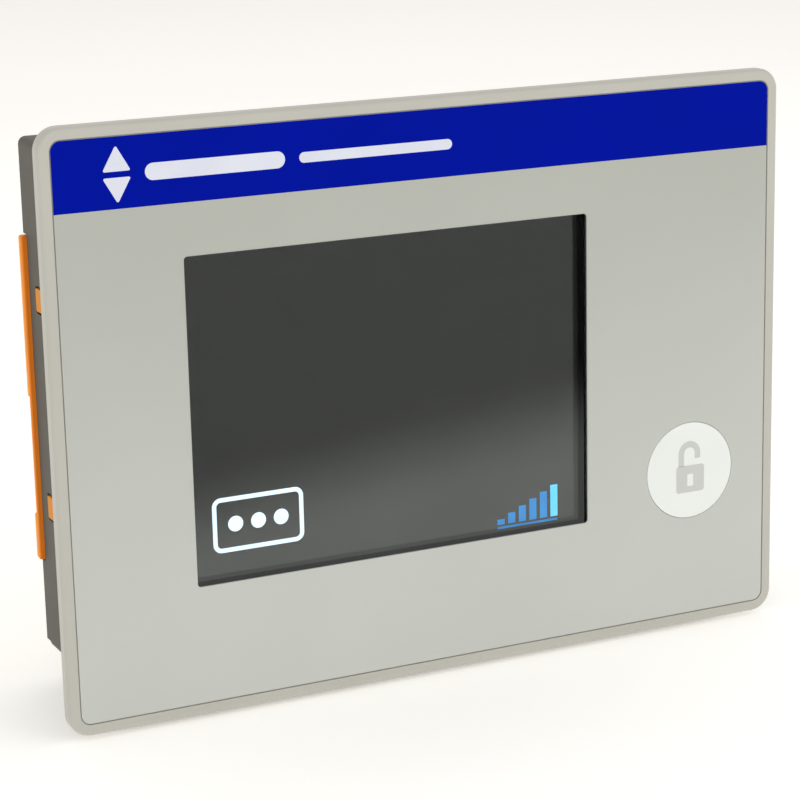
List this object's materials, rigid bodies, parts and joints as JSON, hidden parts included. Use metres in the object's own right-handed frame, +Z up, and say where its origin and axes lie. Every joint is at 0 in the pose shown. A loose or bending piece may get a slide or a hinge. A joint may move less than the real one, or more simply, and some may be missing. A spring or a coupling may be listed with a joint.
{
  "type": "hmi touch panel",
  "caption": "Flush-front operator panel with a touch display, a round unlock key, a sheet-metal housing, a hinged media cover and screw clamps.",
  "frame": {"origin": "middle of the plane in which the front gasket meets the cabinet door", "axes": "+X to the right as an operator sees the front, +Y from the front towards the rear, +Z up"},
  "size_m": [0.212, 0.0519, 0.156],
  "materials": {
    "frame_paint": "satin warm grey paint on aluminium",
    "film_print": "fine matte grey printed polyester",
    "band_blue": "deep blue print under the film",
    "print_white": "white print",
    "print_grey": "light grey print",
    "window_black": "black mask behind the glass",
    "clear_glass": "anti-glare clear glass",
    "display_dark": "unlit liquid-crystal display",
    "screen_light": "lit figures on the display",
    "seal_rubber": "closed-cell rubber",
    "ribbon_film": "polyimide ribbon",
    "bright_steel": "tin-plated steel sheet",
    "backlight_white": "white light guide housing",
    "zinc_steel": "bright zinc-plated steel",
    "key_white": "satin white polycarbonate",
    "board_green": "solder-masked board",
    "chip_black": "moulded epoxy",
    "pad_grey": "silicone thermal pad",
    "sink_aluminium": "extruded aluminium",
    "housing_paint": "fine-textured dark warm grey powder coat",
    "inlet_green": "glass-filled polyamide",
    "socket_metal": "tinned shield",
    "stud_brass": "brass",
    "bay_orange": "satin orange polycarbonate",
    "cover_orange": "satin orange polycarbonate",
    "card_blue": "moulded card shell",
    "cell_steel": "nickel-plated steel",
    "button_green": "satin plastic",
    "button_red": "satin plastic",
    "light_pipe": "clear acrylic",
    "label_silver": "blank polyester label",
    "clamp_zinc": "zinc die-cast",
    "clamp_black": "glass-filled polyamide"
  },
  "bodies": {
    "panel": {"front_frame": "frame_paint", "overlay_film": "film_print", "touch_glass": "clear_glass", "touch_seal": "seal_rubber", "touch_ribbon": "ribbon_film", "lcd_frame": "bright_steel", "lcd_cell": "display_dark", "lcd_backlight": "backlight_white", "display_ribbon": "ribbon_film", "display_carrier": "bright_steel", "carrier_screws": "zinc_steel", "front_gasket": "seal_rubber", "key_dome": "bright_steel", "key_board": "board_green", "key_ribbon": "ribbon_film", "backlight_driver": "board_green", "small_board_screws": "zinc_steel", "mainboard": "board_green", "processor_chips": "chip_black", "thermal_pads": "pad_grey", "heat_sink": "sink_aluminium", "board_standoffs": "zinc_steel", "board_screws": "zinc_steel", "housing_shell": "housing_paint", "rear_cover": "housing_paint", "rear_cover_screws": "zinc_steel", "housing_screws": "zinc_steel", "power_inlet": "inlet_green", "ethernet_jacks": "socket_metal", "usb_sockets": "socket_metal", "serial_port": "socket_metal", "serial_standoffs": "zinc_steel", "earth_stud": "stud_brass", "bay_frame": "bay_orange", "cover_hinge_pins": "zinc_steel", "service_board": "board_green", "card_socket": "chip_black", "memory_card": "card_blue", "battery_holder": "chip_black", "backup_battery": "cell_steel", "status_lights": "light_pipe", "rating_label": "label_silver", "clamp_brackets": "clamp_zinc"},
    "media_cover": {"media_cover": "cover_orange"},
    "unlock_key": {"unlock_key": "key_white"},
    "power_button": {"power_button": "button_green"},
    "reset_button": {"reset_button": "button_red"},
    "clamp_pad_1": {"clamp_pad_1": "clamp_black"},
    "clamp_screw_1": {"clamp_screw_1": "zinc_steel"},
    "clamp_pad_2": {"clamp_pad_2": "clamp_black"},
    "clamp_screw_2": {"clamp_screw_2": "zinc_steel"},
    "clamp_pad_3": {"clamp_pad_3": "clamp_black"},
    "clamp_screw_3": {"clamp_screw_3": "zinc_steel"},
    "clamp_pad_4": {"clamp_pad_4": "clamp_black"},
    "clamp_screw_4": {"clamp_screw_4": "zinc_steel"}
  },
  "joints": [
    {"name": "media_cover_hinge", "type": "hinge", "parent": "panel", "child": "media_cover", "pos_m": [-0.066, 0.0444, 0], "axis": [0, 0, -1], "range_deg": [0, 110]},
    {"name": "unlock_key_press", "type": "slide", "parent": "panel", "child": "unlock_key", "axis": [0, 1, 0], "range_m": [0, 0.0005], "stiffness_N_per_m": 3000, "springref_m": -0.0001},
    {"name": "power_button_press", "type": "slide", "parent": "panel", "child": "power_button", "axis": [0, -1, 0], "range_m": [0, 0.001], "stiffness_N_per_m": 900, "springref_m": -0.0004},
    {"name": "reset_button_press", "type": "slide", "parent": "panel", "child": "reset_button", "axis": [0, -1, 0], "range_m": [0, 0.001], "stiffness_N_per_m": 900, "springref_m": -0.0004},
    {"name": "clamp_slide_1", "type": "slide", "parent": "panel", "child": "clamp_pad_1", "axis": [0, -1, 0], "range_m": [0, 0.005]},
    {"name": "clamp_turn_1", "type": "hinge", "parent": "clamp_pad_1", "child": "clamp_screw_1", "pos_m": [-0.078, 0.016, 0.0723], "axis": [0, -1, 0], "range_deg": [0, 2572]},
    {"name": "clamp_slide_2", "type": "slide", "parent": "panel", "child": "clamp_pad_2", "axis": [0, -1, 0], "range_m": [0, 0.005]},
    {"name": "clamp_turn_2", "type": "hinge", "parent": "clamp_pad_2", "child": "clamp_screw_2", "pos_m": [0.078, 0.016, 0.0723], "axis": [0, -1, 0], "range_deg": [0, 2572]},
    {"name": "clamp_slide_3", "type": "slide", "parent": "panel", "child": "clamp_pad_3", "axis": [0, -1, 0], "range_m": [0, 0.005]},
    {"name": "clamp_turn_3", "type": "hinge", "parent": "clamp_pad_3", "child": "clamp_screw_3", "pos_m": [-0.078, 0.016, -0.0723], "axis": [0, -1, 0], "range_deg": [0, 2572]},
    {"name": "clamp_slide_4", "type": "slide", "parent": "panel", "child": "clamp_pad_4", "axis": [0, -1, 0], "range_m": [0, 0.005]},
    {"name": "clamp_turn_4", "type": "hinge", "parent": "clamp_pad_4", "child": "clamp_screw_4", "pos_m": [0.078, 0.016, -0.0723], "axis": [0, -1, 0], "range_deg": [0, 2572]}
  ],
  "couplings": [
    {"joint": "clamp_turn_1", "follows": "clamp_slide_1", "rad_per_m": 8976},
    {"joint": "clamp_turn_2", "follows": "clamp_slide_2", "rad_per_m": 8976},
    {"joint": "clamp_turn_3", "follows": "clamp_slide_3", "rad_per_m": 8976},
    {"joint": "clamp_turn_4", "follows": "clamp_slide_4", "rad_per_m": 8976}
  ]
}
